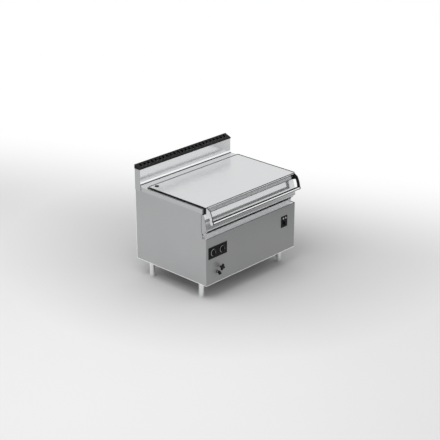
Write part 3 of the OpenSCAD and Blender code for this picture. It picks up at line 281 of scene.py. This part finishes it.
def dress_frame():
    """Gives every CAD node its finish, and small rounded edges where light would catch them."""
    for finish, names in FINISH.items():
        for name in names:
            obj = nodes[name]
            obj.data.materials.clear()
            obj.data.materials.append(MATERIALS[finish])
    bare = sorted(set(nodes) - {n for names in FINISH.values() for n in names})
    if bare:
        raise ValueError(f"no finish for {bare}")
    for name, radius in ROUNDED.items():
        mod = nodes[name].modifiers.new("edges", "BEVEL")
        mod.width = radius / 1000
        mod.segments = 2
        mod.limit_method = "ANGLE"
        mod.angle_limit = math.radians(PLAIN_ANGLE)


# Surfaces. Places are in millimetres in the CAD model's frame, with Y 0 at the front panel's face.

Y_MIDDLE = 412.5
Y_WAY, Z_WAY = (0, 1, 0), (0, 0, 1)


def outward(points, faces):
    """Turns the faces round where their tetrahedra on the shape's middle add up to a negative volume."""
    p = np.asarray(points, float)
    q = p - p.mean(axis=0)
    volume = 0.0
    for size in {len(f) for f in faces}:
        f = np.array([g for g in faces if len(g) == size])
        for k in range(1, size - 1):
            volume += (q[f[:, 0]] * np.cross(q[f[:, k]], q[f[:, k + 1]])).sum()
    return p, faces if volume > 0 else [list(f)[::-1] for f in faces]


def make_piece(name, points, faces, finish, body, slot, sharp=35):
    """Turns points in millimetres and faces into a piece that rides on a body. Edges bent by more than the
    sharp angle in degrees stay sharp."""
    points, faces = outward(points, faces)
    mesh = bpy.data.meshes.new(name)
    places = (points - (0, Y_MIDDLE, 0)) / 1000
    mesh.from_pydata(places.tolist(), [], [list(map(int, f)) for f in faces])
    mesh.polygons.foreach_set("use_smooth", np.ones(len(mesh.polygons), bool))
    mesh.set_sharp_from_angle(angle=math.radians(sharp))
    mesh.materials.append(MATERIALS[finish])
    obj = bpy.data.objects.new(name, mesh)
    bpy.context.scene.collection.objects.link(obj)
    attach(obj, body)
    return obj


def join(*shapes):
    """Several closed shapes of points and faces as one."""
    shapes = [outward(*shape) for shape in shapes]
    points = np.concatenate([p for p, _ in shapes])
    starts = np.cumsum([0] + [len(p) for p, _ in shapes[:-1]])
    faces = [[int(i) + int(s) for i in f] for (_, fs), s in zip(shapes, starts) for f in fs]
    return points, faces


def grid_faces(rings, around):
    """Quads between rings of points that each close on themselves."""
    i, j = np.meshgrid(np.arange(rings - 1), np.arange(around), indexing="ij")
    a, b = (i * around + j).ravel(), (i * around + (j + 1) % around).ravel()
    return np.stack([a, b, b + around, a + around], 1).tolist()


def end_faces(rings, around):
    """The two flat faces that close the first and the last of a row of rings."""
    last = (rings - 1) * around
    return [list(range(around))[::-1], list(range(last, last + around))]


def round_trip(count):
    """Angles once round, without the last, which is the first again."""
    return np.linspace(0, 2 * np.pi, count, endpoint=False)


def turned(profile, centre, axis="Y", around=64, wave=None):
    """A surface of revolution: the profile gives radius and place along the axis, and the wave scales the
    radius by angle. Along Y the angle runs from Z to X."""
    r, h = np.asarray(profile, float).T
    angle = round_trip(around)
    scale = np.ones(around) if wave is None else wave(angle)
    u, v = np.outer(r, np.cos(angle) * scale), np.outer(r, np.sin(angle) * scale)
    w = np.outer(h, np.ones(around))
    stack = {"X": (w, u, v), "Y": (v, w, u), "Z": (u, v, w)}[axis]
    points = np.stack(stack, -1).reshape(-1, 3) + np.asarray(centre, float)
    return points, grid_faces(len(r), around) + end_faces(len(r), around)


def rounded_profile(r, h0, h1, edge, steps=6):
    """Profile of a drum from h0 to h1 with both rims rounded by quarter circles of the edge's radius."""
    a = np.linspace(0, np.pi / 2, steps)
    low = np.stack([r - edge + edge * np.sin(a), h0 + edge - edge * np.cos(a)], 1)
    high = np.stack([r - edge + edge * np.cos(a), h1 - edge + edge * np.sin(a)], 1)
    return np.concatenate([low, high])


def arc(centre, r, a0, a1, n):
    """Places on an arc about a centre, from one angle to another in degrees."""
    a = np.radians(np.linspace(a0, a1, n))
    return np.stack([centre[0] + r * np.cos(a), centre[1] + r * np.sin(a)], 1)


def sheet_x(outer, inner, x0, x1):
    """A bent sheet along X: quads between an outer and an inner line of places in Y and Z, closed all
    round."""
    n = len(outer)
    line = np.concatenate([outer, inner[::-1]])
    points = np.concatenate([np.column_stack([np.full(2 * n, x), line]) for x in (x0, x1)])
    k = np.arange(2 * n)
    nxt = (k + 1) % (2 * n)
    faces = np.stack([k, k + 2 * n, nxt + 2 * n, nxt], 1).tolist()
    m = np.arange(n - 1)
    back = 2 * n - 1 - m
    faces += np.stack([m, m + 1, back - 1, back], 1).tolist()
    faces += (np.stack([m, back, back - 1, m + 1], 1) + 2 * n).tolist()
    return points, faces


def bead(p0, p1, u, v, r, n=20):
    """A round bead between two places: a circle of radius r in the plane of u and v, drawn along the line."""
    a = round_trip(n)
    ring = np.outer(r * np.cos(a), u) + np.outer(r * np.sin(a), v)
    points = np.concatenate([np.asarray(p0) + ring, np.asarray(p1) + ring])
    return points, grid_faces(2, n) + end_faces(2, n)


def tube_path(path, radius, bore, around=48, rim=0.8, lip=0.5, depth=14.0):
    """A round tube along a line in a plane X = constant, whose rings stand square to the line. The far end
    has a bevelled rim, and a bore that starts inside a small lip and goes in by the depth."""
    path = np.asarray(path, float)
    way = np.gradient(path, axis=0)
    way /= np.linalg.norm(way, axis=1)[:, None]
    side = np.array([1.0, 0, 0])
    up = np.cross(way, side)
    angle = round_trip(around)
    ring = np.cos(angle)[None, :, None] * side + np.sin(angle)[None, :, None] * up[:, None, :]
    rings = [path[i] + radius * ring[i] for i in range(len(path) - 1)]
    end, end_way, end_ring = path[-1], way[-1], ring[-1]
    rings += [end - rim * end_way + radius * end_ring, end + (radius - rim) * end_ring]
    rings.append(end + (bore + lip) * end_ring)
    rings += [end - d * end_way + bore * end_ring for d in (lip + 0.1, depth)]
    return np.concatenate(rings), grid_faces(len(rings), around) + end_faces(len(rings), around)


def rounded_bar(x, z, half_x, half_z, y0, y1, r, n=8):
    """A bar along Z: a rounded rectangle in X and Z, from y0 to y1, whose front rim at y0 is rounded too."""
    a = np.linspace(0, np.pi / 2, n)

    def outline(inset):
        """The rounded rectangle, set in from its edge."""
        hx, hz, q = half_x - inset, half_z - inset, max(r - inset, 0.05)
        parts = []
        for k, (sx, sz) in enumerate(((1, 1), (-1, 1), (-1, -1), (1, -1))):
            t = a + k * np.pi / 2
            parts.append(np.stack([sx * (hx - q) + q * np.cos(t), sz * (hz - q) + q * np.sin(t)], 1))
        return np.concatenate(parts)

    rim = min(r, (y1 - y0) / 2) * 0.8
    rings = [(rim * (1 - math.sin(t)), y0 + rim * (1 - math.cos(t))) for t in np.linspace(0, np.pi / 2, 5)]
    lines = [(outline(inset), y) for inset, y in rings + [(0.0, y1)]]
    m = 4 * n
    points = np.concatenate([np.column_stack([x + o[:, 0], np.full(m, y), z + o[:, 1]]) for o, y in lines])
    faces = [f[::-1] for f in grid_faces(len(lines), m) + end_faces(len(lines), m)]
    return points, faces


# Pieces. The places of dials, tap and outlet are those of their CAD nodes. CAP_IN is the inner face of the
# pan's end caps, RING_FACE the front of the dials' rings, and LOBE_TURN the turn of the tap's lobes, in
# degrees.

HALF_WIDTH = 600.0
LEG_H = 164.0
CAP_IN = 597.0
DIAL_X = (-510.5, -395.5)
PLATE_Z = 472.5
RING_FACE = -6.0
TAP_X, TAP_Z = -432.0, 315.0
OUTLET_X, OUTLET_Z = -456.0, 267.0
LOBE_TURN = 65.0


def make_fascia():
    """The pan's front sheet: a wide arc from its top edge to its nose, then a small arc that turns in below
    the nose."""
    low, high = np.array([-3.0, 706.0]), np.array([30.0, 848.0])
    r, nose, thick, turned_in = 700.0, 12.0, 2.0, 265
    chord = high - low
    length = np.linalg.norm(chord)
    rise = math.sqrt(r * r - length * length / 4)
    centre = (low + high) / 2 + rise / length * np.array([chord[1], -chord[0]])
    start, end = (math.degrees(math.atan2(*(p - centre)[::-1])) % 360 for p in (high, low))
    inward = math.radians(end + 180)
    turn = low + nose * np.array([math.cos(inward), math.sin(inward)])
    lines = []
    for t in (0.0, thick):
        fold = arc(turn, nose - t, end, turned_in, 16)[1:]
        lines.append(np.concatenate([arc(centre, r - t, start, end, 40), fold]))
    shape = sheet_x(*lines, -CAP_IN, CAP_IN)
    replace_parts(make_piece("fascia_sheet", *shape, "polished", "pan", "bright_steel"), "pan_fascia")


def make_beads():
    """Folded edges, whose bright steel paints the highlight along them: round beads along the underside of
    the front and side panels, and up the rear corners.
    """
    r, z = 2.5, LEG_H + 2.7
    front_x, front_y = HALF_WIDTH - 1.0, 0.8
    side_x, side_y = HALF_WIDTH - 0.8, (1.5, 898)
    front = bead((-front_x, front_y, z), (front_x, front_y, z), Y_WAY, Z_WAY, r)
    sides = [bead((s * side_x, side_y[0], z), (s * side_x, side_y[1], z), (-s, 0, 0), Z_WAY, r)
             for s in (-1, 1)]
    make_piece("base_rim_highlight", *join(front, *sides), "rim", "cabinet", "panel_steel")
    x, y, top, r = HALF_WIDTH - 0.6, 897.2, 853, 2.7
    corners = [bead((s * x, y, LEG_H), (s * x, y, top), (s, 0, 0), Y_WAY, r) for s in (-1, 1)]
    make_piece("corner_highlight_beads", *join(*corners), "rim", "cabinet", "panel_steel")


def make_deck_shadow_seal():
    """Black seal in the gap between the rear deck and the upstand's foot, raised above the deck so that it
    paints the gap's shadow as a dark line: a strip along X whose top is a half sine."""
    front, width, foot, shoulder, crown, half = 819.1, 6.8, 904.0, 913.5, 6.5, HALF_WIDTH - 2.0
    y = np.linspace(front, front + width, 13)
    top = np.column_stack([y, shoulder + crown * np.sin(np.pi * (y - front) / width)])
    under = np.column_stack([y, np.full(len(y), foot)])
    shape = sheet_x(top[::-1], under[::-1], -half, half)
    make_piece("deck_shadow_seal", *shape, "rubber", "cabinet", "buffer_rubber")


def make_lid_shade_piping():
    """Black piping on the lid's right and rear edges, which paints the dark line of shade along them: a bead
    whose round section is drawn along each edge.
    """
    x, front, back, z, r = 594.5, 9.5, 724.0, 921.2, 4.0
    right = bead((x, front, z), (x, back, z), (1, 0, 0), (0, 0, -1), r)
    x, y, z, r = 591.2, 726.0, 923.0, 2.0
    rear = bead((-x, y, z), (x, y, z), Y_WAY, Z_WAY, r)
    make_piece("lid_shade_piping", *join(right, rear), "rubber", "lid", "buffer_rubber")


def make_front_lines():
    """Two fine beads along X: a fold at the top of the lid's apron, whose near-white steel paints the lid
    edge's highlight, and a black bead under the trough, which paints the shadow line there."""
    # Painted highlight: a near-white bead along the lid's front edge.
    x, y, z, r = 579, 5.6, 911.4, 2.4
    make_piece("apron_highlight_fold", *bead((-x, y, z), (x, y, z), Y_WAY, Z_WAY, r), "strip", "lid", "panel_steel")
    # Painted shadow: a black bead where the trough's lip leaves a shadow line on the front panel.
    x, y, z, r = HALF_WIDTH - 2.0, 0.2, 621.0, 1.8
    shadow_bead = bead((-x, y, z), (x, y, z), Y_WAY, Z_WAY, r)
    make_piece("trough_shadow_bead", *shadow_bead, "rubber", "cabinet", "buffer_rubber")


def make_knobs():
    """Dial knobs: a stepped drum with rounded rims, and a grip bar whose section is a rounded rectangle. Each
    grip has a pale line."""
    steps = [(18.0, -21.0), (19.8, -20.8), (21.2, -19.8), (21.8, -18.4), (22.2, -13.0), (22.8, -12.2),
             (24.2, -12.0), (25.4, -11.6), (26.0, -10.4), (26.0, -5.6), (25.6, -4.6), (24.6, -4.0)]
    shaft = [(4.0, -4.5), (4.0, 29.0)]
    for x, side in zip(DIAL_X, ("left", "right")):
        body, centre = f"knob_{side}", (x, 0, PLATE_Z)
        grip = rounded_bar(x, PLATE_Z, 4.8, 20.5, -27.0, -18.0, 2.4)
        shape = join(turned(steps, centre, "Y", 72), grip, turned(shaft, centre, "Y", 24))
        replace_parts(make_piece(f"dial_knob_{side}", *shape, "plastic", body, "black_plastic"), body)
        line = rounded_bar(x, PLATE_Z + 11.0, 0.8, 8.0, -27.3, -26.6, 0.4)
        make_piece(f"dial_line_{side}", *line, "mark", body, "black_plastic")


def make_dials():
    """Pale printed marks round the dials, a hair above each ring's face: a crescent, whose half width
    follows a flattened half sine along its arc, and a row of dots."""
    mid, half_width, count, thick = 32.2, 2.6, 60, 0.3
    arc_start, arc_sweep = 75, 175
    dot_r, dot_thick, dot_edge = 1.1, 0.35, 0.2
    t = np.linspace(0, 1, count)
    a = np.radians(arc_start + arc_sweep * t)
    half = half_width * np.sin(np.pi * (0.12 + 0.76 * t)) ** 0.6
    for x, name in zip(DIAL_X, ("left", "right")):
        edges = [np.stack([x + r * np.cos(a), np.full(count, RING_FACE - 0.25), PLATE_Z + r * np.sin(a)], 1)
                 for r in (mid - half, mid + half)]
        points = np.concatenate(edges + [edge + (0, thick, 0) for edge in edges])
        m = np.arange(count - 1)
        inner, outer, inner_back, outer_back = (k * count for k in range(4))
        faces = []
        for p, q, r, s in ((inner, outer, outer + 1, inner + 1),
                           (inner_back, inner_back + 1, outer_back + 1, outer_back),
                           (outer, outer_back, outer_back + 1, outer + 1),
                           (inner, inner + 1, inner_back + 1, inner_back)):
            faces += np.stack([m + p, m + q, m + r, m + s], 1).tolist()
        end = count - 1
        faces += [[inner, inner_back, outer_back, outer],
                  [inner + end, outer + end, outer_back + end, inner_back + end]]
        drop = rounded_profile(dot_r, 0.0, dot_thick, dot_edge, 3)
        dots = [turned(drop, (x + mid * math.cos(b), RING_FACE - 0.3, PLATE_Z + mid * math.sin(b)), "Y", 16)
                for b in np.radians(np.linspace(60, -60, 6))]
        make_piece(f"dial_marks_{name}", *join((points, faces), *dots), "mark", "cabinet", "black_enamel")


def make_tap_grip():
    """The tap's grip, a drum whose radius waves by a cosine with four lobes, with its cap and its stem."""
    centre, depth = (TAP_X, 0, TAP_Z), 0.26
    turn = math.radians(90 - LOBE_TURN)
    drum = rounded_profile(24.5, -48.0, -30.0, 5.5, 8)
    lobes = turned(drum, centre, "Y", 120, lambda a: 1 + depth * np.cos(4 * (a - turn)))
    cap = turned([(6.0, -49.5), (8.2, -49.2), (9.0, -48.6), (9.0, -48.0)], centre, "Y", 40)
    grip = make_piece("tap_grip", *join(lobes, cap), "plastic", "tap_handle", "black_plastic", 60)
    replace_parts(grip, "tap_handle")
    stem = join(turned(rounded_profile(8.0, -30.5, -4.0, 1.0, 4), centre),
                turned(rounded_profile(4.0, -5.0, 29.0, 0.5, 3), centre, "Y", 24))
    make_piece("tap_stem", *stem, "front", "tap_handle", "machined_steel")


def make_spout():
    """The bent outlet with its collar, whose bright steel paints the highlight on the outlet: a tube whose
    line turns down by 45 degrees along a parabola.
    """
    knee, bend_by = np.array([-22.0, OUTLET_Z]), 10.0
    slope = math.radians(45)
    way = np.array([-math.sin(slope), -math.cos(slope)])
    t = np.linspace(0, 1, 14)[:, None]
    before, after = knee + (bend_by, 0), knee + bend_by * way
    bend = (1 - t) ** 2 * before + 2 * t * (1 - t) * knee + t ** 2 * after
    straight = [[1.5, OUTLET_Z], [-4.0, OUTLET_Z]]
    line = np.concatenate([straight, bend, [knee + 15.0 * way, knee + 22.0 * way]])
    path = np.column_stack([np.full(len(line), OUTLET_X), line])
    spout = make_piece("spout", *tube_path(path, 14.6, 12.0), "plastic", "cabinet", "black_plastic", 50)
    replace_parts(spout, "tap_outlet")
    # Partly painted highlight: a bright steel collar round the outlet, placed where it shows a highlight.
    collar = turned(rounded_profile(15.8, -13.0, -7.0, 1.0, 5), (OUTLET_X, 0, OUTLET_Z), "Y", 48)
    make_piece("spout_highlight_collar", *collar, "bar", "cabinet", "bright_steel")


# Stage. The floor's greys change between the two places of each pair. A painted shadow darkens the floor by
# the distance from FLOOR_CENTRE, and the greys that only reflections see, a painted reflection, change by X
# minus Y, which grows towards the right front.

FLOOR_HALF = 30.0
FLOOR_CENTRE = (0.5, 0.3, 0.0)
SHADOW_AT, SHADOW_GREY = (0.7, 2.3), (0.50, 0.68)
REFLECTED_AT, REFLECTED_GREY = (-2.0, 2.5), (0.80, 0.74)
DARK_REFLECTION_AT, DARK_REFLECTION_GREY = (2.7, 3.6), 0.08
WHITE_AT, WHITE_SLANT = (1.0, 4.5), 0.35
LOW_SKY, HIGH_SKY = 0.70, 0.84


def unlit(t):
    """1 for the rays that see the background as it is: the camera's, reflections and those through glass."""
    rays = t.add("ShaderNodeLightPath").outputs
    mirrored = t.math("MAXIMUM", rays["Is Glossy Ray"], rays["Is Transmission Ray"])
    return t.math("MAXIMUM", rays["Is Camera Ray"], mirrored)


def floor_material():
    """Grey with a painted shadow that darkens it near the object, fading to white behind it and to its right.
    A
    painted reflection: reflections see it paler near the object, and dark far to the right front."""
    mat, t, place = open_finish("floor")
    x, y = t.axes(place)["X"], t.axes(place)["Y"]
    deep, across = t.math("ADD", x, y), t.math("SUBTRACT", x, y)
    away = t.add("ShaderNodeVectorMath", {0: place, 1: FLOOR_CENTRE}, operation="DISTANCE").outputs["Value"]
    # Painted shadow: the floor is darker close to the object.
    near = t.mix(t.span(away, 0.0, 1.0, *SHADOW_AT), *map(grey, SHADOW_GREY))
    near = t.mix(t.span(t.noise(place, 0.7, 2.0), 0.0, 0.03), near, grey(1.0))
    # Painted reflection: greys that only glossy rays see, paler near the object and dark far to the right
    # front.
    reflected_floor = t.mix(t.span(across, 0.0, 1.0, *REFLECTED_AT), *map(grey, REFLECTED_GREY))
    reflected_floor = t.mix(t.span(across, 0.0, 1.0, *DARK_REFLECTION_AT), reflected_floor, grey(DARK_REFLECTION_GREY))
    colour = t.mix(t.add("ShaderNodeLightPath").outputs["Is Glossy Ray"], near, reflected_floor)
    shader = t.add("ShaderNodeBsdfDiffuse", {"Color": colour})
    white = t.add("ShaderNodeEmission", {"Color": grey(1.0), "Strength": 1.0})
    reach = t.math("ADD", deep, t.math("MULTIPLY", across, WHITE_SLANT))
    start, end = WHITE_AT
    fade = t.add("ShaderNodeMapRange", {"Value": reach, "From Min": start, "From Max": end},
                 interpolation_type="SMOOTHSTEP")
    fade = t.math("MULTIPLY", fade.outputs["Result"], unlit(t))
    both = t.add("ShaderNodeMixShader", {0: fade, 1: shader.outputs[0], 2: white.outputs[0]})
    t.add("ShaderNodeOutputMaterial", {"Surface": both.outputs[0]})
    return mat


def make_stage():
    """A wide flat floor."""
    corners = [(sx * FLOOR_HALF, sy * FLOOR_HALF, 0) for sx, sy in ((-1, -1), (1, -1), (1, 1), (-1, 1))]
    mesh = bpy.data.meshes.new("floor")
    mesh.from_pydata(corners, [], [(0, 1, 2, 3)])
    mesh.materials.append(floor_material())
    floor = bpy.data.objects.new("floor", mesh)
    bpy.context.scene.collection.objects.link(floor)


def make_world():
    """Soft studio surroundings: white to look at, and as light a little brighter above than at the
    horizon."""
    world = bpy.data.worlds.new("studio")
    bpy.context.scene.world = world
    t = Tree(world)
    up = t.axes(t.add("ShaderNodeTexCoord").outputs["Generated"])["Z"]
    surround = t.mix(t.span(up, 0.0, 1.0, -0.1, 0.4), grey(LOW_SKY), grey(HIGH_SKY))
    colour = t.mix(unlit(t), surround, grey(1.0))
    back = t.add("ShaderNodeBackground", {"Color": colour, "Strength": 1.0})
    t.add("ShaderNodeOutputWorld", {"Surface": back.outputs[0]})


LIT_AT = (0, 0, 0.6)


def soft_light(name, at, size, power):
    """A large square lamp that points at the object's middle; reflections don't show it."""
    data = bpy.data.lights.new(name, "AREA")
    data.shape = "SQUARE"
    data.size = size
    data.energy = power
    lamp = bpy.data.objects.new(name, data)
    lamp.visible_glossy = False
    lamp.location = at
    lamp.rotation_mode = "QUATERNION"
    lamp.rotation_quaternion = (Vector(LIT_AT) - Vector(at)).to_track_quat("-Z", "Y")
    bpy.context.scene.collection.objects.link(lamp)


make_camera()
dress_frame()
make_fascia()
make_beads()
make_deck_shadow_seal()
make_lid_shade_piping()
make_front_lines()
make_knobs()
make_dials()
make_tap_grip()
make_spout()
make_stage()
make_world()
soft_light("left_light", (-3.0, -0.6, 5.5), 4.0, 160)
soft_light("right_light", (3.5, -4.5, 5.0), 5.0, 30)
bpy.context.scene.view_settings.view_transform = "Standard"
